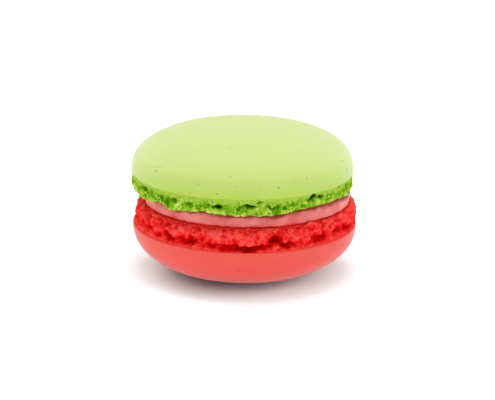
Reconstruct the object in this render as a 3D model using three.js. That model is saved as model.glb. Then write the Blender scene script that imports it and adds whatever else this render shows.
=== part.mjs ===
// French macaron: two domed shells with ruffled feet, held together by a layer of cream.
// Millimetres, +Z up. The origin is the centre of the small flat spot that the lower dome rests on.
import * as THREE from "three";

const { degToRad, euclideanModulo, lerp, radToDeg } = THREE.MathUtils;

// Heights of the sandwich, from the flat spot upwards
const lowerFootHeight = 4.55;
const creamThickness = 3.3;
const upperFootHeight = 3.2;

// How far to the right of the lower shell's axis the upper shell and the cream were set
const upperShift = -0.5;
const creamShift = 0.5;

// Round and up the outside, how finely the shapes are divided
const turns = 120;
const domeRows = 9;
const lipRows = 3;
const footRows = 10;
const creamRows = 6;

// A tear is a dark hollow in the foot: turn in degrees from the front, at as a share of the foot's
// height from the skin's edge, half its width and height, and its depth. The crevice is the deep line
// that runs right round through the points of its path. The dome's right shoulder is fuller by the
// dome's lean, and the crest's left side is further in by the foot's lean. The crest, the foot's free
// edge, starts to curl under at a share of the foot's height and ends further in by its round.
const upperShell = {
  shift: upperShift,
  skinRadius: 22.45,
  domeHeight: 9.2,
  domeFullness: 2.42,
  domeLean: 0.08,
  flatSpot: 0,
  footHeight: upperFootHeight,
  footInset: 0.2,
  footLean: 0,
  lipRadius: 0.18,
  crestHang: 0.4,
  crestWave: 0.16,
  crestBumps: [
    { turn: -47, rise: -0.55, halfWidth: 2.0 },
    { turn: -38, rise: 0.2, halfWidth: 1.4 },
    { turn: -20, rise: -0.5, halfWidth: 2.2 },
    { turn: 0, rise: 0.1, halfWidth: 3.0 },
    { turn: 46, rise: -0.8, halfWidth: 7.5 },
    { turn: 100, rise: 0.3, halfWidth: 3.0 },
    { turn: 150, rise: -0.3, halfWidth: 4.0 },
    { turn: -110, rise: -0.35, halfWidth: 3.0 },
    { turn: -160, rise: 0.3, halfWidth: 3.5 },
  ],
  crestStart: 0.62,
  crestRound: 0.6,
  creviceReach: 0.14,
  crevicePath: [
    { turn: -150, at: 0.35, depth: 0.4 },
    { turn: -100, at: 0.5, depth: 0.2 },
    { turn: -60, at: 0.35, depth: 0.15 },
    { turn: -48, at: 0.4, depth: 0.05 },
    { turn: -40, at: 0.42, depth: 0.25 },
    { turn: -32, at: 0.52, depth: 0.1 },
    { turn: -25, at: 0.5, depth: 0.15 },
    { turn: -12, at: 0.53, depth: 0.35 },
    { turn: -4, at: 0.48, depth: 0.15 },
    { turn: 4, at: 0.4, depth: 0.35 },
    { turn: 14, at: 0.5, depth: 0.15 },
    { turn: 28, at: 0.55, depth: 0.1 },
    { turn: 42, at: 0.38, depth: 0.35 },
    { turn: 52, at: 0.45, depth: 0.2 },
    { turn: 80, at: 0.5, depth: 0.15 },
    { turn: 125, at: 0.35, depth: 0.4 },
    { turn: 165, at: 0.5, depth: 0.2 },
  ],
  seed: 71,
  tears: [
    { turn: -61, at: 0.3, halfWidth: 1.3, halfHeight: 0.35, depth: 0.7 },
    { turn: -36, at: 0.42, halfWidth: 0.9, halfHeight: 0.35, depth: 0.6 },
    { turn: -11.8, at: 0.53, halfWidth: 0.9, halfHeight: 0.5, depth: 1.2 },
    { turn: 4, at: 0.4, halfWidth: 1.4, halfHeight: 0.3, depth: 1.0 },
    { turn: 8.8, at: 0.1, halfWidth: 0.6, halfHeight: 0.25, depth: 0.6 },
    { turn: 15, at: 0.5, halfWidth: 1.0, halfHeight: 0.35, depth: 0.7 },
    { turn: 38.3, at: 0.34, halfWidth: 0.8, halfHeight: 0.45, depth: 1.2 },
    { turn: 43.5, at: 0.4, halfWidth: 0.9, halfHeight: 0.35, depth: 1.0 },
  ],
};
const lowerShell = {
  shift: 0,
  skinRadius: 22.7,
  domeHeight: 10.3,
  domeFullness: 2.3,
  domeLean: 0,
  flatSpot: 7.5,
  footHeight: lowerFootHeight,
  footInset: 0.2,
  footLean: 1.0,
  lipRadius: 0.2,
  crestHang: 0,
  crestWave: 0.16,
  crestBumps: [
    { turn: -30, rise: 0.1, halfWidth: 3.0 },
    { turn: 22, rise: -0.2, halfWidth: 4.0 },
    { turn: 36, rise: 0.35, halfWidth: 1.5 },
    { turn: 50, rise: 0.3, halfWidth: 1.5 },
    { turn: 110, rise: -0.25, halfWidth: 4.0 },
    { turn: 170, rise: 0.3, halfWidth: 3.0 },
    { turn: -100, rise: 0.25, halfWidth: 3.0 },
  ],
  crestStart: 0.4,
  crestRound: 1.1,
  creviceReach: 0.15,
  crevicePath: [
    { turn: -165, at: 0.25, depth: 0.5 },
    { turn: -130, at: 0.4, depth: 0.9 },
    { turn: -95, at: 0.3, depth: 0.3 },
    { turn: -68, at: 0.42, depth: 0.35 },
    { turn: -56, at: 0.3, depth: 0.25 },
    { turn: -45, at: 0.36, depth: 0.6 },
    { turn: -37, at: 0.27, depth: 0.45 },
    { turn: -28, at: 0.33, depth: 0.9 },
    { turn: -21, at: 0.38, depth: 0.35 },
    { turn: -16, at: 0.32, depth: 0.7 },
    { turn: -6, at: 0.2, depth: 0.8 },
    { turn: 4, at: 0.12, depth: 1.3 },
    { turn: 10, at: 0.2, depth: 0.8 },
    { turn: 16.6, at: 0.42, depth: 0.6 },
    { turn: 22, at: 0.28, depth: 0.9 },
    { turn: 30, at: 0.3, depth: 0.2 },
    { turn: 42, at: 0.34, depth: 0.8 },
    { turn: 49, at: 0.38, depth: 0.25 },
    { turn: 56, at: 0.4, depth: 0.6 },
    { turn: 70, at: 0.3, depth: 0.3 },
    { turn: 90, at: 0.28, depth: 0.2 },
    { turn: 135, at: 0.4, depth: 0.8 },
  ],
  seed: 29,
  tears: [
    { turn: -60, at: 0.42, halfWidth: 1.2, halfHeight: 0.4, depth: 0.8 },
    { turn: -40, at: 0.26, halfWidth: 1.6, halfHeight: 0.5, depth: 0.9 },
    { turn: -20, at: 0.34, halfWidth: 1.2, halfHeight: 0.45, depth: 0.7 },
    { turn: 2, at: 0.13, halfWidth: 1.8, halfHeight: 0.4, depth: 0.6 },
    { turn: 15.7, at: 0.47, halfWidth: 1.5, halfHeight: 0.65, depth: 1.5 },
    { turn: 24.6, at: 0.28, halfWidth: 1.2, halfHeight: 0.4, depth: 0.9 },
    { turn: 41, at: 0.32, halfWidth: 1.0, halfHeight: 0.4, depth: 0.9 },
    { turn: 54, at: 0.42, halfWidth: 1.0, halfHeight: 0.5, depth: 1.0 },
  ],
};
const cream = { radius: 20.5, bulge: 0.4, wave: 0.12, seed: 5 };

// Tears on the sides and back, past the ones that are placed by hand
const frontHalfAngle = 68;
const hiddenTears = {
  count: 17,
  at: [0.2, 0.55],
  halfWidth: [0.6, 1.6],
  halfHeight: [0.3, 0.6],
  depth: [0.6, 1.3],
};

// Knuckles are the lumps that the batter swelled into as the foot rose. Their depth is how far they stand out.
const knuckles = {
  count: 46,
  at: [0.35, 1.0],
  halfWidth: [0.9, 2.0],
  halfHeight: [0.5, 1.2],
  depth: [0.1, 0.4],
};

// How far such a spot strays from its even place round the foot, as a share of the spacing
const jitter = 0.7;

// How far a skin is out of round, as [waves round, share of the radius, turn in radians]
const outOfRound = [
  [2, 0.0035, 0.6],
  [3, 0.0025, 2.1],
  [5, 0.0012, 4.4],
];

// Waves round the foot whose mean, times the gain, is its uneven ruffle
const ruffleWaves = [5, 8, 13, 19, 27];
const ruffleGain = 1.6;

// Least width of the flat underside past the cream
const underMargin = 0.25;

// Least gap between a foot's crest and the edge of the flat underside
const crestMargin = 0.15;

// Repeatable draws from 0 to 1
function drawsFrom(seed) {
  let state = seed;
  return () => {
    state = (state * 16807) % 2147483647;
    return state / 2147483647;
  };
}

function between([low, high], share) {
  return low + (high - low) * share;
}

// An uneven wave round the foot, from about -1 to 1
function ruffle(angle, seed) {
  const draw = drawsFrom(seed);
  let sum = 0;
  for (const waves of ruffleWaves) {
    sum += Math.sin(waves * angle + 2 * Math.PI * draw());
  }
  return (sum / ruffleWaves.length) * ruffleGain;
}

function skinRoundness(angle) {
  return outOfRound.reduce((sum, [waves, share, turn]) => sum + share * Math.cos(waves * (angle - turn)), 1);
}

// Spots at jittered, even spacing round the foot, each with its place up the foot and its size
function spotsRound(kind, seed) {
  const draw = drawsFrom(seed);
  return Array.from({ length: kind.count }, (_, i) => ({
    turn: ((i + jitter * (draw() - 0.5)) * 360) / kind.count - 180,
    at: between(kind.at, draw()),
    halfWidth: between(kind.halfWidth, draw()),
    halfHeight: between(kind.halfHeight, draw()),
    depth: between(kind.depth, draw()),
  }));
}

// Distance round the foot from a spot to an angle
function acrossFrom(spot, angle, shell) {
  const apart = angle - degToRad(spot.turn);
  return Math.atan2(Math.sin(apart), Math.cos(apart)) * shell.skinRadius;
}

// How much of a spot's depth reaches a place on the foot
function spotAt(spot, angle, up, shell) {
  const across = acrossFrom(spot, angle, shell);
  const along = (up - spot.at) * shell.footHeight;
  return spot.depth * Math.exp(-((across / spot.halfWidth) ** 2) - (along / spot.halfHeight) ** 2);
}

// Place and depth of the crevice at an angle, eased from one point of its path to the next
function creviceAt(path, angle) {
  const first = path[0];
  const ends = [...path, { ...first, turn: first.turn + 360 }];
  const degrees = first.turn + euclideanModulo(radToDeg(angle) - first.turn, 360);
  const next = ends.findIndex((point) => point.turn > degrees);
  const [from, to] = [ends[next - 1], ends[next]];
  const share = (1 - Math.cos((Math.PI * (degrees - from.turn)) / (to.turn - from.turn))) / 2;
  return { at: between([from.at, to.at], share), depth: between([from.depth, to.depth], share) };
}

function makeRelief(shell) {
  const lumps = spotsRound(knuckles, shell.seed);
  const backTears = spotsRound(hiddenTears, shell.seed + 1);
  const tears = [...shell.tears, ...backTears.filter((tear) => Math.abs(tear.turn) > frontHalfAngle)];
  return (angle, up) => {
    const deepLine = creviceAt(shell.crevicePath, angle);
    const crevice = deepLine.depth * Math.exp(-(((up - deepLine.at) / shell.creviceReach) ** 4));
    const raised = lumps.reduce((most, lump) => Math.max(most, spotAt(lump, angle, up, shell)), 0);
    const torn = tears.reduce((most, tear) => Math.max(most, spotAt(tear, angle, up, shell)), 0);
    return raised - Math.max(torn, crevice);
  };
}

// The rounded edge where the skin curls under
function lipPoints(shell, radius) {
  return Array.from({ length: lipRows }, (_, i) => {
    const turn = ((i + 1) / lipRows) * (Math.PI / 2);
    return new THREE.Vector2(
      radius - shell.lipRadius * (1 - Math.cos(turn)),
      -shell.lipRadius * Math.sin(turn),
    );
  });
}

// How far the crest stands from the skin's edge
function crestHeight(shell, angle) {
  const waved = shell.footHeight + shell.crestHang + shell.crestWave * ruffle(angle, shell.seed + 4);
  return shell.crestBumps.reduce(
    (sum, bump) => sum + bump.rise * Math.exp(-((acrossFrom(bump, angle, shell) / bump.halfWidth) ** 2)),
    waved,
  );
}

// The foot from under the lip to its free crest, which curls over towards the cream
function footPoints(shell, radius, angle, relief) {
  const crest = crestHeight(shell, angle);
  const under = underRadius(shell, angle);
  const leaning = (shell.footLean * (1 - Math.sin(angle))) / 2;
  return Array.from({ length: footRows }, (_, i) => {
    const up = i / (footRows - 1);
    const curl = (Math.max(0, up - shell.crestStart) / (1 - shell.crestStart)) * (Math.PI / 2);
    const rise = Math.min(up, shell.crestStart) + (1 - shell.crestStart) * Math.sin(curl);
    const inset = shell.footInset + leaning * up + shell.crestRound * (1 - Math.cos(curl));
    const out = radius - inset + relief(angle, up) * Math.cos(curl / 2);
    const depth = lerp(shell.lipRadius, crest, rise);
    return new THREE.Vector2(Math.max(out, under + crestMargin), -depth);
  });
}

// Reach of the flat underside, just past the edge of the cream that lies off the shell's own axis
function underRadius(shell, angle) {
  const aside = creamShift - shell.shift;
  const edge = aside * Math.sin(angle) + Math.sqrt(cream.radius ** 2 - (aside * Math.cos(angle)) ** 2);
  return edge + underMargin;
}

// The dome is a quarter of a superellipse from the skin's edge up, cut off level at the flat spot
function domePoints(shell, radius, angle) {
  const power = shell.domeFullness + shell.domeLean * Math.sin(angle);
  const cut = shell.flatSpot / shell.skinRadius;
  const lastTurn = Math.atan2((1 - cut ** power) ** (1 / power), cut);
  const points = Array.from({ length: domeRows + 1 }, (_, i) => {
    const turn = (i / domeRows) * lastTurn;
    const reach = (Math.cos(turn) ** power + Math.sin(turn) ** power) ** (-1 / power);
    return new THREE.Vector2(radius * reach * Math.cos(turn), shell.domeHeight * reach * Math.sin(turn));
  });
  if (shell.flatSpot) {
    points.push(new THREE.Vector2(0, points.at(-1).y));
  } else {
    points.at(-1).x = 0;
  }
  return points;
}

// Half a section of a shell at one angle, from the middle of its underside to the top of its dome
function shellSection(shell, angle, relief) {
  const radius = shell.skinRadius * skinRoundness(angle);
  return [
    new THREE.Vector2(0, -shell.footHeight),
    new THREE.Vector2(underRadius(shell, angle), -shell.footHeight),
    ...footPoints(shell, radius, angle, relief).reverse(),
    ...lipPoints(shell, radius).reverse(),
    ...domePoints(shell, radius, angle),
  ];
}

function creamSection(angle) {
  const wave = cream.wave * ruffle(angle, cream.seed);
  const wall = Array.from({ length: creamRows + 1 }, (_, i) => {
    const share = i / creamRows;
    const swell = 1 - (2 * share - 1) ** 2;
    return new THREE.Vector2(cream.radius + (cream.bulge + wave) * swell, share * creamThickness);
  });
  return [new THREE.Vector2(0, 0), ...wall, new THREE.Vector2(0, creamThickness)];
}

// Turns a section about the upright axis, with its own outline at each angle. Angle 0 faces the front.
function turned(sectionAt) {
  const first = sectionAt(0);
  const geometry = new THREE.LatheGeometry(first, turns);
  const places = geometry.getAttribute("position");
  for (let turn = 0; turn <= turns; turn++) {
    const angle = ((turn % turns) / turns) * 2 * Math.PI;
    sectionAt(angle).forEach((point, row) => {
      const index = turn * first.length + row;
      places.setXYZ(index, point.x * Math.sin(angle), point.y, point.x * Math.cos(angle));
    });
  }
  geometry.rotateX(Math.PI / 2);
  geometry.computeVertexNormals();
  return geometry;
}

function shellMesh(name, shell, color, upsideDown) {
  const relief = makeRelief(shell);
  const geometry = turned((angle) => {
    const section = shellSection(shell, angle, relief);
    return upsideDown ? section.reverse().map((point) => new THREE.Vector2(point.x, -point.y)) : section;
  });
  const material = new THREE.MeshStandardMaterial({ color, roughness: 0.75, metalness: 0 });
  const mesh = new THREE.Mesh(geometry, material);
  mesh.name = name;
  return mesh;
}

function creamMesh() {
  const material = new THREE.MeshStandardMaterial({ color: "#dc7f7b", roughness: 0.45, metalness: 0 });
  const mesh = new THREE.Mesh(turned(creamSection), material);
  mesh.name = "cream_filling";
  return mesh;
}

const lower = shellMesh("lower_shell", lowerShell, "#ef5c54", true);
lower.position.z = domePoints(lowerShell, lowerShell.skinRadius, 0).at(-1).y;

const filling = creamMesh();
filling.position.set(creamShift, 0, lower.position.z + lowerFootHeight);

const upper = shellMesh("upper_shell", upperShell, "#c4dc74", false);
upper.position.set(upperShift, 0, filling.position.z + creamThickness + upperFootHeight);

const macaron = new THREE.Group();
macaron.add(lower, filling, upper);
export default macaron;
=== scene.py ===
import math
import bmesh
import bpy
from mathutils import Matrix, Vector, noise


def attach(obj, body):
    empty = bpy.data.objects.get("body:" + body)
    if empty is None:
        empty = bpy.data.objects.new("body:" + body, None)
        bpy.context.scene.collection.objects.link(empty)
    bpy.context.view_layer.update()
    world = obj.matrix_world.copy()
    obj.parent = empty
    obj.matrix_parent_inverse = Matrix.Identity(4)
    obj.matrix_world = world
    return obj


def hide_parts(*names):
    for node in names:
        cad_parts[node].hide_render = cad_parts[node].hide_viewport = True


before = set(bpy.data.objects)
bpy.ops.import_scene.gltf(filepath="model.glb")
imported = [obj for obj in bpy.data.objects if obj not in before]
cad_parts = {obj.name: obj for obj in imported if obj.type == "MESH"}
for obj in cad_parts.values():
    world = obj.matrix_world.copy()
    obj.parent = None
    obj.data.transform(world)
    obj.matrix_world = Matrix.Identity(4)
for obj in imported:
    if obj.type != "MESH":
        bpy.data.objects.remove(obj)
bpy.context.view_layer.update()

# French macaron: green shell, pink cream, red shell.
# Shapes are worked out in millimetres, and each finished mesh is shrunk to metres.

millimetre = 0.001
weldDistance = 1e-4             # millimetres

sandwich = {
    "creamThickness": 3.3,
    "upperShift": -0.5,         # how far right of the lower shell each was set down
    "creamShift": 0.5,
    "underMargin": 0.25,        # flat underside left bare past the cream
    "crestMargin": 0.15,        # least gap between a foot's crest and the edge of that underside
    "turns": 1150,              # divisions round the outside
}

greenShell = {
    "name": "upper_biscuit",
    "shift": sandwich["upperShift"],
    "skinRadius": 22.45,
    "domeHeight": 9.2,
    "domeFullness": 2.42,
    "domeLean": 0.08,           # how much fuller the right shoulder is
    "flatSpot": 0.0,
    "footHeight": 3.2,
    "footInset": 0.2,
    "footLean": 0.0,            # how much further in the crest is at the left than at the right
    "lipRadius": 0.18,
    "crestHang": 0.4,
    "crestWave": 0.16,
    "crestBumps": [             # (degrees from the front, height, half width)
        (-47, -0.55, 2.0), (-38, 0.2, 1.4), (-20, -0.5, 2.2), (0, 0.1, 3.0), (46, -0.8, 7.5),
        (100, 0.3, 3.0), (150, -0.3, 4.0), (-110, -0.35, 3.0), (-160, 0.3, 3.5),
    ],
    "crestStart": 0.62,         # where up the foot it starts to curl under
    "crestRound": 0.6,
    "creviceReach": 0.14,
    "crevicePath": [            # (degrees from the front, share of the foot, depth)
        (-150, 0.35, 0.4), (-100, 0.5, 0.2), (-60, 0.35, 0.15), (-48, 0.4, 0.05), (-40, 0.42, 0.25),
        (-32, 0.52, 0.1), (-25, 0.5, 0.15), (-12, 0.53, 0.35), (-4, 0.48, 0.15), (4, 0.4, 0.35),
        (14, 0.5, 0.15), (28, 0.55, 0.1), (42, 0.38, 0.35), (52, 0.45, 0.2), (80, 0.5, 0.15),
        (125, 0.35, 0.4), (165, 0.5, 0.2),
    ],
    "seed": 71,
    # (degrees from the front, share of the foot, half width, half height, depth)
    "tears": [
        (-61, 0.3, 1.3, 0.35, 0.7),
        (-36, 0.42, 0.9, 0.35, 0.6),
        (-11.8, 0.53, 0.9, 0.5, 1.2),
        (4, 0.4, 1.4, 0.3, 1.0),
        (8.8, 0.1, 0.6, 0.25, 0.6),
        (15, 0.5, 1.0, 0.35, 0.7),
        (38.3, 0.34, 0.8, 0.45, 1.2),
        (43.5, 0.4, 0.9, 0.35, 1.0),
    ],
    "bubbles": [                # (cell size, share of cells with a burst bubble, depth)
        (1.5, 0.35, 0.4),
        (0.8, 0.45, 0.3),
        (0.5, 0.6, 0.2),
    ],
    "lumpSize": 1.4,
    "lumpHeight": 0.3,
    "skinReach": 0.12,          # share of the foot that the skin runs down over
    "skinFade": 0.35,
    "paintedShadeUp": -0.05,         # painted light: less than 0, so the crumb is painted paler towards the crest, where more light falls
}

redShell = {
    "name": "lower_biscuit",
    "shift": 0.0,
    "skinRadius": 22.7,
    "domeHeight": 10.3,
    "domeFullness": 2.3,
    "domeLean": 0.0,
    "flatSpot": 7.5,
    "footHeight": 4.55,
    "footInset": 0.2,
    "footLean": 1.0,
    "lipRadius": 0.2,
    "crestHang": 0.0,
    "crestWave": 0.16,
    "crestBumps": [
        (-30, 0.1, 3.0), (22, -0.2, 4.0), (32.5, -0.3, 0.8), (36, 0.35, 1.5), (37, 0.15, 0.6),
        (42, -0.2, 0.6), (46, 0.15, 0.6), (50, 0.3, 1.5), (52, 0.2, 0.5), (56, -0.2, 0.6),
        (110, -0.25, 4.0), (170, 0.3, 3.0), (-100, 0.25, 3.0),
    ],
    "crestStart": 0.4,
    "crestRound": 1.1,
    "creviceReach": 0.15,
    "crevicePath": [
        (-165, 0.25, 0.5), (-130, 0.4, 0.9), (-95, 0.3, 0.3), (-68, 0.42, 0.35), (-56, 0.3, 0.25),
        (-45, 0.36, 0.6), (-37, 0.27, 0.45), (-28, 0.33, 0.9), (-21, 0.38, 0.35), (-16, 0.32, 0.7),
        (-6, 0.2, 0.8), (4, 0.12, 1.3), (10, 0.2, 0.8), (16.6, 0.42, 0.6), (22, 0.28, 0.9), (30, 0.3, 0.2),
        (42, 0.34, 0.8), (49, 0.38, 0.25), (56, 0.4, 0.6), (70, 0.3, 0.3), (90, 0.28, 0.2), (135, 0.4, 0.8),
    ],
    "seed": 29,
    "tears": [
        (-60, 0.42, 1.2, 0.4, 0.8),
        (-40, 0.26, 1.6, 0.5, 0.9),
        (-20, 0.34, 1.2, 0.45, 0.7),
        (2, 0.13, 1.8, 0.4, 0.6),
        (15.7, 0.47, 1.5, 0.65, 1.5),
        (24.6, 0.28, 1.2, 0.4, 0.9),
        (41, 0.32, 1.0, 0.4, 0.9),
        (54, 0.42, 1.0, 0.5, 1.0),
    ],
    "bubbles": [
        (1.7, 0.35, 0.45),
        (0.85, 0.45, 0.32),
        (0.5, 0.6, 0.22),
    ],
    "lumpSize": 1.5,
    "lumpHeight": 0.44,
    "skinReach": 0.02,
    "skinFade": 0.12,
    # painted light: the crumb is painted paler towards the crest
    "paintedShadeUp": -0.08,
}

foot = {
    "frontHalfAngle": 68,       # tears within this of the front are given one by one
    "hiddenTears": {"count": 17, "at": (0.2, 0.55), "halfWidth": (0.6, 1.6), "halfHeight": (0.3, 0.6),
                    "depth": (0.6, 1.3)},
    "knuckles": {"count": 46, "at": (0.35, 1.0), "halfWidth": (0.9, 2.0), "halfHeight": (0.5, 1.2),
                 "depth": (0.1, 0.4)},
    "jitter": 0.7,              # share of their spacing by which these spots stray
    "spotReach": 3,             # half widths past which a spot is no longer felt
    "creviceEdge": 4,           # the higher, the steeper the crevice's sides
    "ruffleWaves": [5, 8, 13, 19, 27],
    "ruffleGain": 1.6,
    "raggedness": 0.5,          # millimetres by which the edges of the hollows stray
    "raggedSize": 1.8,
    "raggedNoise": (0.7, 2.1, 3),       # fade, step in scale and number of its layers
    "rows": 46,
    "ledgeRows": 8,             # from the crest in to the cream
}

crumb = {
    "lumpNoise": (0.45, 2.1, 4),
    "bubbleDraw": 7.3,          # spreads the cells' centres, so that each cell draws its own number
    "leastBubble": 0.3,         # a burst bubble's radius in cells
    "bubbleSpread": 0.25,
    "facesDown": 0.8,           # how much the upper half of the foot turns towards the cream
    "skinStray": 0.7,           # share of the skin's reach by which its lower edge strays
    "skinStraySize": 1.1,
    "underSkin": 0.6,           # share of the roughness that the skin smooths away
    "roughFrom": 14,            # full roughness is reached one 14th of the way up the foot
    "ledgeCalm": 0.7,           # share of the roughness gone where the cream starts
    "ledgeShade": 0.6,          # painted shade: how much deeper the colour is there, in the crease by the cream
    "ledgeShadeEdge": 4,
    "tornSkin": 2,              # how fast the skin gives way in a hollow
}

skin = {
    "outOfRound": [(2, 0.0035, 0.6), (3, 0.0025, 2.1), (5, 0.0012, 4.4)],   # (waves, share, turn)
    "undulation": 0.07,         # how far the dome swells and dips
    "undulationSize": 9.0,
    "undulationFrom": 3,        # height above the skin's edge where it has grown to its full depth
    "crownAt": 5.0,             # height above the skin's edge where its colour has turned to the crown's painted shading
    "domeRows": 18,
    "lipRows": 4,
    "underRows": 2,
}

cream = {
    "name": "cream_layer",
    "radius": 20.5,
    "bulge": 0.4,
    "wave": 0.12,
    "seed": 5,
    "rows": 22,
    "flatRows": 5,
    "swirlHeight": 0.22,        # soft ridges left by spreading
    "swirlSize": 5.0,
    "swirlSquash": 2.5,         # times lower than long
    "swirlNoise": (1.0, 2.3, 3),
    "swirlEdge": 4,             # the higher, the nearer to the shells the ridges run
    "lowerShadeReach": 0.5,          # how far up the painted shade in the crease by the lower shell reaches
    "shadeReach": 0.8,          # how far the cream is darkened below the upper shell's crest
    "tintEdge": 4,              # the higher, the sharper the edge of both
    "tintStray": 0.6,           # share of both reaches by which that edge strays
    "tintStraySize": 1.6,
}


def drawsFrom(seed):            # repeatable draws from 0 to 1
    state = seed
    while True:
        state = (state * 16807) % 2147483647
        yield state / 2147483647


def ruffle(angle, seed):        # an uneven wave round the foot, from about -1 to 1
    draws = drawsFrom(seed)
    waves = foot["ruffleWaves"]
    total = sum(math.sin(count * angle + 2 * math.pi * next(draws)) for count in waves)
    return total / len(waves) * foot["ruffleGain"]


def skinRoundness(angle):
    return 1 + sum(share * math.cos(waves * (angle - turn)) for waves, share, turn in skin["outOfRound"])


def spotsRound(kind, seed):
    draws = drawsFrom(seed)
    spots = []
    for i in range(kind["count"]):
        turn = (i + foot["jitter"] * (next(draws) - 0.5)) * 360 / kind["count"] - 180
        sizes = [low + (high - low) * next(draws) for low, high in
                 (kind["at"], kind["halfWidth"], kind["halfHeight"], kind["depth"])]
        spots.append((turn, *sizes))
    return spots


def spotsNear(spots, angle, shell):     # the spots that reach this angle, with their depth there
    near = []
    for turn, at, halfWidth, halfHeight, depth in spots:
        apart = angle - math.radians(turn)
        across = math.atan2(math.sin(apart), math.cos(apart)) * shell["skinRadius"]
        if abs(across) < foot["spotReach"] * halfWidth:
            near.append((at, halfHeight, depth * math.exp(-(across / halfWidth) ** 2)))
    return near


def mostOf(near, up, shell):
    return max((depth * math.exp(-((up - at) * shell["footHeight"] / halfHeight) ** 2)
                for at, halfHeight, depth in near), default=0.0)


def pathAt(path, angle):        # place and depth on a path that runs right round the foot
    first = path[0]
    degrees = math.degrees(angle)
    while degrees >= first[0] + 360:
        degrees -= 360
    ends = [*path, (first[0] + 360, *first[1:])]
    if degrees < first[0]:
        degrees += 360
    for (start, *low), (end, *high) in zip(ends, ends[1:]):
        if start <= degrees < end:
            share = (1 - math.cos(math.pi * (degrees - start) / (end - start))) / 2
            return [a + (b - a) * share for a, b in zip(low, high)]


def reliefOf(shell):            # the large lumps and hollows of a foot, one function for each angle
    lumps = spotsRound(foot["knuckles"], shell["seed"])
    hidden = [tear for tear in spotsRound(foot["hiddenTears"], shell["seed"] + 1)
              if abs(tear[0]) > foot["frontHalfAngle"]]
    tears = shell["tears"] + hidden

    def at(angle):
        lumpsHere = spotsNear(lumps, angle, shell)
        tearsHere = spotsNear(tears, angle, shell)
        wander, strength = pathAt(shell["crevicePath"], angle)

        def relief(up):
            crevice = strength * math.exp(-((up - wander) / shell["creviceReach"]) ** foot["creviceEdge"])
            return mostOf(lumpsHere, up, shell) - max(mostOf(tearsHere, up, shell), crevice)
        return relief
    return at


def crestHeight(shell, angle):
    wave = shell["crestWave"] * ruffle(angle, shell["seed"] + 4)
    height = shell["footHeight"] + shell["crestHang"] + wave
    for turn, rise, halfWidth in shell["crestBumps"]:
        apart = angle - math.radians(turn)
        across = math.atan2(math.sin(apart), math.cos(apart)) * shell["skinRadius"]
        height += rise * math.exp(-(across / halfWidth) ** 2)
    return height


def underRadius(shell, angle):
    aside = sandwich["creamShift"] - shell["shift"]
    edge = aside * math.sin(angle) + math.sqrt(cream["radius"] ** 2 - (aside * math.cos(angle)) ** 2)
    return edge + sandwich["underMargin"]


# Half a section from pole to pole, each point as (radius, height, part, share of the foot, hollow)
def shellSection(shell, angle, relief):
    radius = shell["skinRadius"] * skinRoundness(angle)
    under = underRadius(shell, angle)
    power = shell["domeFullness"] + shell["domeLean"] * math.sin(angle)
    cut = shell["flatSpot"] / shell["skinRadius"]
    lastTurn = math.atan2((1 - cut ** power) ** (1 / power), cut)
    points = []
    for i in range(skin["domeRows"], -1, -1):
        turn = i / skin["domeRows"] * lastTurn
        reach = (math.cos(turn) ** power + math.sin(turn) ** power) ** (-1 / power)
        height = shell["domeHeight"] * reach * math.sin(turn)
        points.append((radius * reach * math.cos(turn), height, "skin", 0, 0))
    if shell["flatSpot"]:
        points.insert(0, (0, points[0][1], "skin", 0, 0))
    else:
        points[0] = (0, points[0][1], "skin", 0, 0)
    for i in range(1, skin["lipRows"] + 1):
        turn = i / skin["lipRows"] * math.pi / 2
        points.append((radius - shell["lipRadius"] * (1 - math.cos(turn)),
                       -shell["lipRadius"] * math.sin(turn), "lip", 0, 0))
    crest = crestHeight(shell, angle)
    start = shell["crestStart"]
    leftward = shell["footLean"] * (1 - math.sin(angle)) / 2
    for i in range(foot["rows"]):
        up = i / (foot["rows"] - 1)
        curl = max(0, up - start) / (1 - start) * math.pi / 2
        rise = min(up, start) + (1 - start) * math.sin(curl)
        inset = shell["footInset"] + leftward * up + shell["crestRound"] * (1 - math.cos(curl))
        spot = Vector((radius * math.sin(angle), radius * math.cos(angle), up * shell["footHeight"]))
        stray = foot["raggedness"] * noise.fractal(spot / foot["raggedSize"], *foot["raggedNoise"])
        height = relief(up + stray / shell["footHeight"])
        out = radius - inset + height * math.cos(curl / 2)
        depth = shell["lipRadius"] + (crest - shell["lipRadius"]) * rise
        points.append((max(out, under + sandwich["crestMargin"]), -depth, "foot", up, max(0, -height)))
    edge, crestDepth = points[-1][0], -points[-1][1]
    for i in range(1, foot["ledgeRows"]):
        share = i / foot["ledgeRows"]
        depth = crestDepth + (shell["footHeight"] - crestDepth) * share
        points.append((edge + (under - edge) * share, -depth, "foot", 1 + share, 0))
    for i in range(skin["underRows"]):
        points.append((under * (1 - i / skin["underRows"]), -shell["footHeight"], "under", 1, 0))
    points.append((0, -shell["footHeight"], "under", 1, 0))
    return points


def wrapGrid(rows, valueNames):     # its columns go round the outside, with the seam and poles still open
    bm = bmesh.new()
    for name in valueNames:
        bm.verts.layers.float.new(name)
    rowLayer = bm.verts.layers.int.new("row")
    turns = sandwich["turns"]
    bmesh.ops.create_grid(bm, x_segments=turns, y_segments=rows - 1, size=1)
    bm.verts.ensure_lookup_table()
    columns = [[bm.verts[row * (turns + 1) + turn] for row in range(rows)] for turn in range(turns + 1)]
    for column in columns:
        for row, vert in enumerate(column):
            vert[rowLayer] = row
    return bm, [(2 * math.pi * (turn % turns) / turns, column) for turn, column in enumerate(columns)]


def closeSurface(bm):
    bmesh.ops.remove_doubles(bm, verts=bm.verts, dist=weldDistance)
    bmesh.ops.recalc_face_normals(bm, faces=bm.faces)


def burstBubbles(place, bubbles):      # depth of the round hollows that bubbles left
    depth = 0.0
    for size, share, deepest in bubbles:
        distances, centres = noise.voronoi(place / size)
        chance = noise.cell(centres[0] * crumb["bubbleDraw"]) * 0.5 + 0.5
        if chance < share:
            reach = crumb["leastBubble"] + crumb["bubbleSpread"] * chance / share
            depth = max(depth, deepest * math.sqrt(max(0, 1 - (distances[0] / reach) ** 2)))
    return depth


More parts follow.
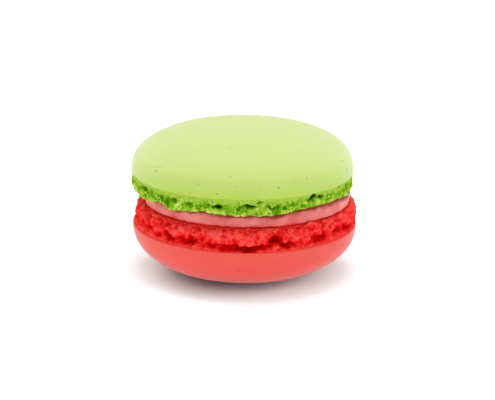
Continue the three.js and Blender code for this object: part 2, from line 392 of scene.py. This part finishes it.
def finishPiece(bm, name):
    bmesh.ops.scale(bm, verts=bm.verts, vec=(millimetre,) * 3)
    mesh = bpy.data.meshes.new(name)
    bm.to_mesh(mesh)
    bm.free()
    mesh.shade_smooth()
    piece = bpy.data.objects.new(name, mesh)
    bpy.context.scene.collection.objects.link(piece)
    print("made", name, len(mesh.polygons), "faces")
    return piece


def roughenFoot(vert, shell, radius, up, hollow):       # gives the crumb's painted shade and the skin's share
    place = vert.co.copy()
    inward = max(0, up - 1)             # 0 on the foot's outside, up to 1 where the cream starts
    level = 1 - inward
    drop = crumb["facesDown"] * min(0.5, max(0, up - 0.5)) + inward
    outward = Vector((place.x * level, place.y * level, -radius * drop)).normalized()
    reach = shell["skinReach"] * (1 + crumb["skinStray"] * noise.noise(place / crumb["skinStraySize"]))
    skinned = min(1, max(0, 1 - (up - reach) / shell["skinFade"]))
    bare = 1 - crumb["underSkin"] * skinned
    rough = bare * min(1, up * crumb["roughFrom"]) * (1 - crumb["ledgeCalm"] * inward ** 2)
    lump = shell["lumpHeight"] * noise.fractal(place / shell["lumpSize"], *crumb["lumpNoise"])
    bubble = burstBubbles(place, shell["bubbles"])
    vert.co += outward * (lump - bubble) * rough
    # The crumb's painted shade: deeper in hollows and burst bubbles, paler on lumps and towards the crest,
    # deeper again on the ledge by the cream.
    shadow = min(1, up) * shell["paintedShadeUp"] + crumb["ledgeShade"] * inward ** crumb["ledgeShadeEdge"]
    return hollow + (bubble - lump) * rough + shadow, skinned * max(0, 1 - crumb["tornSkin"] * hollow)


def makeShell(shell, edgeHeight, upsideDown):
    reliefAt = reliefOf(shell)
    section = shellSection(shell, 0.0, reliefAt(0.0))
    top = section[0][1]
    firstCrumbRow = skin["domeRows"] + skin["lipRows"] + (1 if shell["flatSpot"] else 0)
    bm, columns = wrapGrid(len(section), ["crumbShade", "skinned", "crown"])
    crumbShadeLayer = bm.verts.layers.float["crumbShade"]
    skinnedLayer = bm.verts.layers.float["skinned"]
    crownLayer = bm.verts.layers.float["crown"]
    rowLayer = bm.verts.layers.int["row"]
    shape = []
    for angle, column in columns:
        for vert, point in zip(column, shellSection(shell, angle, reliefAt(angle))):
            radius, height = point[:2]
            vert.co = (radius * math.sin(angle), -radius * math.cos(angle), height)
            shape.append((vert, point))
    bmesh.ops.recalc_face_normals(bm, faces=bm.faces)
    for vert, (radius, height, part, up, hollow) in shape:
        if part == "foot":
            vert[crumbShadeLayer], vert[skinnedLayer] = roughenFoot(vert, shell, radius, up, hollow)
        elif part == "skin":
            swell = skin["undulation"] * noise.noise(vert.co / skin["undulationSize"])
            grown = min(1, height / skin["undulationFrom"], top - height)   # 0 at the rim and the pole
            vert.co += vert.normal * swell * grown
            # Share of the crown's painted shading: the green dome painted paler towards its top, the red
            # one deeper towards its bottom; it also thins the pinholes.
            vert[crownLayer] = min(1, height / skin["crownAt"])
    for face in bm.faces:
        face.material_index = int(min(vert[rowLayer] for vert in face.verts) >= firstCrumbRow)
    closeSurface(bm)
    if upsideDown:
        bmesh.ops.scale(bm, verts=bm.verts, vec=(1, 1, -1))
        bmesh.ops.recalc_face_normals(bm, faces=bm.faces)
    bmesh.ops.translate(bm, verts=bm.verts, vec=(shell["shift"], 0, edgeHeight))
    return finishPiece(bm, shell["name"])


def creamSection(angle):
    wave = cream["wave"] * ruffle(angle, cream["seed"])
    top = sandwich["creamThickness"]
    points = [(cream["radius"] * i / cream["flatRows"], 0) for i in range(cream["flatRows"])]
    for i in range(cream["rows"] + 1):
        share = i / cream["rows"]
        swell = 1 - (2 * share - 1) ** 2
        points.append((cream["radius"] + (cream["bulge"] + wave) * swell, share * top))
    points += [(radius, top) for radius, height in reversed(points[:cream["flatRows"]])]
    return points


def makeCream(baseHeight):
    bm, columns = wrapGrid(len(creamSection(0.0)), ["lowerCreaseShade", "shade"])
    lowerCreaseShadeLayer = bm.verts.layers.float["lowerCreaseShade"]
    shadeLayer = bm.verts.layers.float["shade"]
    for angle, column in columns:
        for row, (vert, (radius, height)) in enumerate(zip(column, creamSection(angle))):
            share = (row - cream["flatRows"]) / cream["rows"]
            if 0 < share < 1:
                squashed = height * cream["swirlSquash"]
                place = Vector((math.sin(angle) * radius, math.cos(angle) * radius, squashed))
                swirl = noise.fractal(place / cream["swirlSize"], *cream["swirlNoise"])
                radius += cream["swirlHeight"] * (1 - (2 * share - 1) ** cream["swirlEdge"]) * swirl
            vert.co = (radius * math.sin(angle), -radius * math.cos(angle), height)
            overhead = math.atan2(vert.co.x + sandwich["creamShift"] - greenShell["shift"], -vert.co.y)
            covered = max(0, crestHeight(greenShell, overhead) - greenShell["footHeight"])
            below = max(0, sandwich["creamThickness"] - covered - height) / cream["shadeReach"]
            ragged = 1 + cream["tintStray"] * noise.noise(vert.co / cream["tintStraySize"])
            # Painted shade in the crease where the cream meets the lower shell, and below the upper shell's
            # crest.
            vert[lowerCreaseShadeLayer] = math.exp(-(height / cream["lowerShadeReach"] / ragged) ** cream["tintEdge"])
            vert[shadeLayer] = math.exp(-(below / ragged) ** cream["tintEdge"])
    closeSurface(bm)
    bmesh.ops.translate(bm, verts=bm.verts, vec=(sandwich["creamShift"], 0, baseHeight))
    return finishPiece(bm, cream["name"])


flatShare = (redShell["flatSpot"] / redShell["skinRadius"]) ** redShell["domeFullness"]
lowerEdge = redShell["domeHeight"] * (1 - flatShare) ** (1 / redShell["domeFullness"])
lowerTop = lowerEdge + redShell["footHeight"]
upperEdge = lowerTop + sandwich["creamThickness"] + greenShell["footHeight"]
redPiece = makeShell(redShell, lowerEdge, upsideDown=True)
creamPiece = makeCream(lowerTop)
greenPiece = makeShell(greenShell, upperEdge, upsideDown=False)

standsFor = [
    (redPiece, "lower_shell", "red_biscuit"),
    (creamPiece, "cream_filling", "pink_cream"),
    (greenPiece, "upper_shell", "green_biscuit"),
]
for piece, node, slot in standsFor:
    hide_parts(node)
    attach(piece, "root")


def feed(tree, socket, given):      # a socket takes a plain value, or what another node puts out
    if isinstance(given, bpy.types.NodeSocket):
        tree.links.new(given, socket)
    else:
        socket.default_value = given


def addNode(tree, kind, place, feeds=None, **settings):
    node = tree.nodes.new(kind)
    node.location = place
    for name, value in settings.items():
        setattr(node, name, value)
    for name, given in (feeds or {}).items():
        feed(tree, node.inputs[name], given)
    return node


def addMath(tree, place, operation, *feeds, clamped=False):
    feeds = dict(enumerate(feeds))
    node = addNode(tree, "ShaderNodeMath", place, feeds, operation=operation, use_clamp=clamped)
    return node.outputs["Value"]


def addVectorMath(tree, place, operation, feeds):
    return addNode(tree, "ShaderNodeVectorMath", place, feeds, operation=operation).outputs["Vector"]


def addRange(tree, place, feeds, interpolation="LINEAR"):
    node = addNode(tree, "ShaderNodeMapRange", place, feeds, interpolation_type=interpolation)
    return node.outputs["Result"]


def addMix(tree, place, share, under, over):
    feeds = {"Factor": share, "A": under, "B": over}
    return addNode(tree, "ShaderNodeMix", place, feeds, data_type="RGBA").outputs["Result"]


def addAttribute(tree, place, name):
    return addNode(tree, "ShaderNodeAttribute", place, attribute_name=name).outputs["Fac"]


def addNoise(tree, place, **feeds):
    return addNode(tree, "ShaderNodeTexNoise", place, feeds, noise_dimensions="3D").outputs


def addGroup(tree, group, place, coords, feeds):
    return addNode(tree, "ShaderNodeGroup", place, {"Vector": coords, **feeds}, node_tree=group).outputs


def addRamp(tree, place, share, stops):
    ramp = addNode(tree, "ShaderNodeValToRGB", place, {"Fac": share})
    marks = ramp.color_ramp.elements
    while len(marks) < len(stops):
        marks.new(0.5)
    first, last = stops[0][0], stops[-1][0]
    for mark, (at, colour) in zip(marks, stops):
        mark.position = (at - first) / (last - first)
        mark.color = colour
    return ramp.outputs["Color"]


def addBump(tree, place, height, distance):
    feeds = {"Distance": distance, "Height": height}
    return addNode(tree, "ShaderNodeBump", place, feeds).outputs["Normal"]


def newGroup(name, inputs, outputs):
    tree = bpy.data.node_groups.new(name, "ShaderNodeTree")
    for socketName, socketType, value in inputs:
        socket = tree.interface.new_socket(socketName, in_out="INPUT", socket_type=socketType)
        if value is not None:
            socket.default_value = value
    for socketName in outputs:
        tree.interface.new_socket(socketName, in_out="OUTPUT", socket_type="NodeSocketFloat")
    given = addNode(tree, "NodeGroupInput", (-900, 0)).outputs
    result = addNode(tree, "NodeGroupOutput", (700, 0)).inputs
    return tree, given, result


pinhole = {
    "ripples": 2.2,             # across a cell, so that no hole is quite round
    "rippleReach": 0.8,         # how far they push its edge, in cells
    "sizeSpread": 0.7,          # a hole's radius is the least size and up to this much more
    "leastSize": 0.3,
    "flatFloor": 0.45,          # share of the radius
}


def makePinholes():             # small round holes left where air bubbles burst, in a share of the cells
    tree, given, result = newGroup(
        "pinholes",
        [("Vector", "NodeSocketVector", None), ("Scale", "NodeSocketFloat", 300.0),
         ("Radius", "NodeSocketFloat", 0.1), ("Share", "NodeSocketFloat", 0.2)],
        ["Hole"])
    rippleScale = addMath(tree, (-900, 400), "MULTIPLY", given["Scale"], pinhole["ripples"])
    ripple = addNoise(tree, (-700, 500), Vector=given["Vector"], Scale=rippleScale)
    centred = addVectorMath(tree, (-500, 500), "SUBTRACT", {0: ripple["Color"], 1: (0.5, 0.5, 0.5)})
    reach = addMath(tree, (-700, 300), "DIVIDE", pinhole["rippleReach"], given["Scale"])
    offset = addVectorMath(tree, (-350, 500), "SCALE", {0: centred, "Scale": reach})
    moved = addVectorMath(tree, (-200, 400), "ADD", {0: given["Vector"], 1: offset})
    cells = addNode(tree, "ShaderNodeTexVoronoi", (-650, 100), {"Vector": moved, "Scale": given["Scale"]},
                    voronoi_dimensions="3D", feature="F1").outputs
    draws = addNode(tree, "ShaderNodeSeparateColor", (-450, -80), {"Color": cells["Color"]}).outputs
    chosen = addMath(tree, (-250, -80), "LESS_THAN", draws["Red"], given["Share"])
    size = addMath(tree, (-450, -280), "MULTIPLY_ADD",
                   draws["Green"], pinhole["sizeSpread"], pinhole["leastSize"])
    radius = addMath(tree, (-250, -280), "MULTIPLY", size, given["Radius"])
    floor = addMath(tree, (-100, -280), "MULTIPLY", radius, pinhole["flatFloor"])
    span = {"From Min": floor, "From Max": radius, "To Min": 1.0, "To Max": 0.0}
    depth = addRange(tree, (0, 100), {"Value": cells["Distance"], **span}, "SMOOTHSTEP")
    feed(tree, result["Hole"], addMath(tree, (300, 0), "MULTIPLY", depth, chosen))
    return tree


def makeGrain():                # fine baked grain, with a broad mottling of the colour
    tree, given, result = newGroup(
        "baked grain",
        [("Vector", "NodeSocketVector", None), ("Grain Scale", "NodeSocketFloat", 2500.0),
         ("Mottle Scale", "NodeSocketFloat", 160.0)],
        ["Grain", "Mottle"])
    coords = given["Vector"]
    fine = addNoise(tree, (-400, 150), Vector=coords, Scale=given["Grain Scale"], Detail=3.0, Roughness=0.6)
    broad = addNoise(tree, (-400, -150), Vector=coords, Scale=given["Mottle Scale"], Detail=2.0)
    feed(tree, result["Grain"], fine["Fac"])
    feed(tree, result["Mottle"], broad["Fac"])
    return tree


def newMaterial(name):
    material = bpy.data.materials.new(name)
    material.use_nodes = True
    tree = material.node_tree
    tree.nodes.clear()
    shader = addNode(tree, "ShaderNodeBsdfPrincipled", (1000, 0))
    addNode(tree, "ShaderNodeOutputMaterial", (1400, 0), {"Surface": shader.outputs["BSDF"]})
    return material, tree, shader


def setShader(tree, shader, feeds):
    for name, given in feeds.items():
        feed(tree, shader.inputs[name], given)


greenLook = {
    "skinRim": (0.40, 0.54, 0.044, 1),
    # painted light: paler and whiter towards the top of the dome, a painted sheen
    "skinCrownShading": (0.545, 0.65, 0.195, 1),
    # painted shade in the pinholes
    "skinHoleShade": (0.05, 0.19, 0.0, 1),
    "holeShare": (0.5, 0.05),   # at the rim and the crown
    "skirt": (0.38, 0.55, 0.065, 1),
    "skinShader": {"Roughness": 0.6, "Specular IOR Level": 0.3, "Subsurface Weight": 0.15,
                   "Subsurface Radius": (0.8, 1.0, 0.3), "Subsurface Scale": 0.0006, "Sheen Weight": 0.4,
                   "Sheen Roughness": 0.5},
    "crumb": [                  # (painted shade, colour): below 0 painted light on lumps, above it painted shade in hollows and pores
        (-0.25, (0.60, 0.71, 0.13, 1)),
        (0.0, (0.31, 0.52, 0.025, 1)),
        (0.25, (0.12, 0.33, 0.002, 1)),
        (0.5, (0.04, 0.17, 0.001, 1)),
        (0.9, (0.002, 0.03, 0.002, 1)),
    ],
}
redLook = {
    "skinRim": (0.79, 0.086, 0.067, 1),
    # painted shade: a little deeper towards the bottom of the dome
    "skinCrownShading": (0.76, 0.065, 0.051, 1),
    # painted shade in the pinholes
    "skinHoleShade": (0.35, 0.0, 0.0, 1),
    "holeShare": (0.15, 0.03),
    "skirt": (0.80, 0.05, 0.04, 1),
    "skinShader": {"Roughness": 0.6, "Specular IOR Level": 0.25, "Subsurface Weight": 0.15,
                   "Subsurface Radius": (1.0, 0.3, 0.2), "Subsurface Scale": 0.0008, "Sheen Weight": 0.3,
                   "Sheen Roughness": 0.4},
    # (painted shade, colour): the pinkish top stop is a painted highlight on lumps, the deep reds painted
    # shade in hollows
    "crumb": [
        (-0.3, (1.0, 0.11, 0.09, 1)),
        (0.0, (1.0, 0.05, 0.041, 1)),
        (0.3, (0.88, 0.018, 0.016, 1)),
        (0.7, (0.62, 0.002, 0.002, 1)),
        (1.3, (0.45, 0.0, 0.0, 1)),
    ],
}
skinTexture = {
    "grain": {"Grain Scale": 2200.0, "Mottle Scale": 150.0},
    "holes": {"Scale": 1100.0, "Radius": 0.26},
    "mottling": 0.3,            # how far it turns the rim's colour to the crown's
    "holeBump": -1.5,           # against 1 for the grain
    "bump": 0.00002,            # metres
}
crumbTexture = {
    "grain": {"Grain Scale": 3600.0, "Mottle Scale": 1200.0},
    "holes": {"Scale": 1900.0, "Radius": 0.33, "Share": 0.55},
    "mottling": 0.6,            # in the crumb's painted shade, as a pore's painted shade is
    # painted shade in the pores
    "poreShade": 1.0,
    "holeBump": -0.25,
    "bump": 0.00015,
    "shader": {"Roughness": 0.9, "Specular IOR Level": 0.0},
}
creamLook = {
    "pale": (0.82, 0.235, 0.215, 1),
    "deep": (0.66, 0.13, 0.112, 1),
    "patches": (0.3, 0.7),      # where in the mottling it is all deep and all pale
    # painted shade in the cream's pinholes
    "holeShade": (0.3, 0.03, 0.02, 1),
    # painted shade in the crease by the lower shell, reddened
    "lowerCreaseShade": (0.62, 0.004, 0.001, 1),
    "shade": (0.28, 0.026, 0.005, 1),
    "grain": {"Grain Scale": 900.0, "Mottle Scale": 260.0},
    "holes": {"Scale": 420.0, "Radius": 0.14, "Share": 0.4},
    "bump": 0.00012,
    "shader": {"Roughness": 0.42, "Specular IOR Level": 0.15, "Subsurface Weight": 0.3,
               "Subsurface Radius": (1.0, 0.4, 0.3), "Subsurface Scale": 0.001},
}

pinholes = makePinholes()
grain = makeGrain()


def skinMaterial(name, look):
    material, tree, shader = newMaterial(name)
    coords = addNode(tree, "ShaderNodeTexCoord", (-1400, 0)).outputs["Object"]
    baked = addGroup(tree, grain, (-1100, 300), coords, skinTexture["grain"])
    crown = addAttribute(tree, (-1100, 550), "crown")
    atRim, atCrown = look["holeShare"]
    share = addRange(tree, (-1300, 0), {"Value": crown, "To Min": atRim, "To Max": atCrown})
    holes = addGroup(tree, pinholes, (-1100, 0), coords, {"Share": share, **skinTexture["holes"]})["Hole"]
    # The crown's painted shading, and painted shade in the pinholes.
    shade = addMath(tree, (-900, 400), "MULTIPLY_ADD",
                    baked["Mottle"], skinTexture["mottling"], crown, clamped=True)
    colour = addMix(tree, (-700, 300), shade, look["skinRim"], look["skinCrownShading"])
    holed = addMix(tree, (-400, 200), holes, colour, look["skinHoleShade"])
    height = addMath(tree, (-400, -100), "MULTIPLY_ADD", holes, skinTexture["holeBump"], baked["Grain"])
    normal = addBump(tree, (0, -100), height, skinTexture["bump"])
    setShader(tree, shader, {"Base Color": holed, "Normal": normal, **look["skinShader"]})
    return material


def crumbMaterial(name, look):
    material, tree, shader = newMaterial(name)
    coords = addNode(tree, "ShaderNodeTexCoord", (-1400, 0)).outputs["Object"]
    torn = addGroup(tree, grain, (-1300, 300), coords, crumbTexture["grain"])
    pores = addGroup(tree, pinholes, (-1300, 0), coords, crumbTexture["holes"])["Hole"]
    # The crumb's painted shade, with mottling and painted shade in the pores, picks the colour.
    crumbShade = addAttribute(tree, (-1300, -300), "crumbShade")
    mottled = addMath(tree, (-1050, -100), "MULTIPLY_ADD", torn["Mottle"], crumbTexture["mottling"], crumbShade)
    depth = addMath(tree, (-850, -100), "MULTIPLY_ADD", pores, crumbTexture["poreShade"], mottled)
    middle = crumbTexture["mottling"] / 2           # what the mottling adds to the painted shade on average
    shallowest, deepest = look["crumb"][0][0], look["crumb"][-1][0]
    span = {"From Min": shallowest + middle, "From Max": deepest + middle}
    share = addRange(tree, (-450, -100), {"Value": depth, **span})
    colour = addRamp(tree, (-200, 0), share, look["crumb"])
    bare = addMath(tree, (-200, -500), "SUBTRACT", 1.0, pores)
    cover = addMath(tree, (50, -300), "MULTIPLY", addAttribute(tree, (-200, -300), "skinned"), bare)
    covered = addMix(tree, (300, 0), cover, colour, look["skirt"])
    height = addMath(tree, (300, -300), "MULTIPLY_ADD", pores, crumbTexture["holeBump"], torn["Grain"])
    normal = addBump(tree, (600, -200), height, crumbTexture["bump"])
    setShader(tree, shader, {"Base Color": covered, "Normal": normal, **crumbTexture["shader"]})
    return material


def creamMaterial(name, look):
    material, tree, shader = newMaterial(name)
    coords = addNode(tree, "ShaderNodeTexCoord", (-1400, 0)).outputs["Object"]
    soft = addGroup(tree, grain, (-1100, 200), coords, look["grain"])
    holes = addGroup(tree, pinholes, (-1100, -100), coords, look["holes"])["Hole"]
    allDeep, allPale = look["patches"]
    span = {"From Min": allDeep, "From Max": allPale}
    patches = addRange(tree, (-900, 400), {"Value": soft["Mottle"], **span})
    colour = addMix(tree, (-700, 200), patches, look["deep"], look["pale"])
    # Painted shade in the pinholes, in the crease by the lower shell and below the upper shell's crest.
    holed = addMix(tree, (-400, 100), holes, colour, look["holeShade"])
    lowerShaded = addMix(tree, (0, 100), addAttribute(tree, (-400, 350), "lowerCreaseShade"), holed, look["lowerCreaseShade"])
    shaded = addMix(tree, (250, 100), addAttribute(tree, (0, 350), "shade"), lowerShaded, look["shade"])
    height = addMath(tree, (-400, -200), "SUBTRACT", soft["Grain"], holes)
    normal = addBump(tree, (0, -200), height, look["bump"])
    setShader(tree, shader, {"Base Color": shaded, "Normal": normal, **look["shader"]})
    return material


for piece, colour, look in ((greenPiece, "green", greenLook), (redPiece, "red", redLook)):
    piece.data.materials.append(skinMaterial(colour + " skin", look))
    piece.data.materials.append(crumbMaterial(colour + " crumb", look))
creamPiece.data.materials.append(creamMaterial("pink cream", creamLook))
print("materials done")

studio = {
    "floorSize": 3.0,           # metres, as the lamps' places and sizes are
    "floorFinish": {"Base Color": (0.47, 0.5, 0.5, 1), "Roughness": 0.9, "Specular IOR Level": 0.2},
    "skyStrength": 0.8,
    "lamps": [                  # (name, place, size, watts, lights the floor only)
        ("overhead", (0.0, 0.1, 0.9), 0.7, 4.0, False),
        ("floor_wash", (0.0, 0.0, 1.2), 4.0, 49.0, True),
        ("front_wash", (0.0, -1.4, 0.55), 1.5, 15.5, True),
        ("right_wash", (1.4, -0.3, 0.5), 1.2, 35.0, True),
        ("back_right_wash", (1.1, 1.1, 0.8), 1.2, 3.5, True),
        ("back_left_wash", (-1.1, 1.1, 0.8), 1.2, 27.5, True),
    ],
}


def makeFloor():
    bm = bmesh.new()
    bmesh.ops.create_grid(bm, x_segments=1, y_segments=1, size=studio["floorSize"] / 2)
    mesh = bpy.data.meshes.new("floor")
    bm.to_mesh(mesh)
    bm.free()
    floor = bpy.data.objects.new("floor", mesh)
    bpy.context.scene.collection.objects.link(floor)
    material, tree, shader = newMaterial("white paper")
    setShader(tree, shader, studio["floorFinish"])
    mesh.materials.append(material)
    return floor


def makeLights(floor):
    floorOnly = bpy.data.collections.new("floor only")
    floorOnly.objects.link(floor)
    world = bpy.data.worlds.new("white studio")
    world.use_nodes = True
    background = world.node_tree.nodes["Background"]
    background.inputs["Color"].default_value = (1, 1, 1, 1)
    background.inputs["Strength"].default_value = studio["skyStrength"]
    bpy.context.scene.world = world
    for name, place, size, watts, washesFloor in studio["lamps"]:
        lamp = bpy.data.lights.new(name, "AREA")
        lamp.shape = "DISK"
        lamp.size = size
        lamp.energy = watts
        holder = bpy.data.objects.new(name, lamp)
        holder.location = place
        holder.rotation_euler = (-Vector(place)).to_track_quat("-Z", "Y").to_euler()
        bpy.context.scene.collection.objects.link(holder)
        if washesFloor:
            holder.light_linking.receiver_collection = floorOnly


camera = {
    "target": (0.60, 0.0, 14.32),   # millimetres
    "distance": 350.0,
    "elevation": 16.05,             # degrees above level
    "roll": 0.45,
    "lens": 125.43,                 # millimetres, as is the sensor's width
    "sensorWidth": 36.0,
}


def makeCamera():
    lens = bpy.data.cameras.new("photo_camera")
    lens.lens = camera["lens"]
    lens.sensor_width = camera["sensorWidth"]
    lens.clip_start = 0.01
    lens.clip_end = 20.0
    holder = bpy.data.objects.new("photo_camera", lens)
    tilt = math.radians(camera["elevation"])
    back = Vector((0, -math.cos(tilt), math.sin(tilt)))
    holder.location = (Vector(camera["target"]) + back * camera["distance"]) * millimetre
    aim = (-back).to_track_quat("-Z", "Y").to_matrix().to_4x4()
    roll = Matrix.Rotation(math.radians(camera["roll"]), 4, "Z")
    holder.rotation_euler = (aim @ roll).to_euler()
    bpy.context.scene.collection.objects.link(holder)
    bpy.context.scene.camera = holder


makeLights(makeFloor())
makeCamera()
bpy.context.scene.view_settings.view_transform = "Standard"
print("studio done")

bpy.context.view_layer.update()
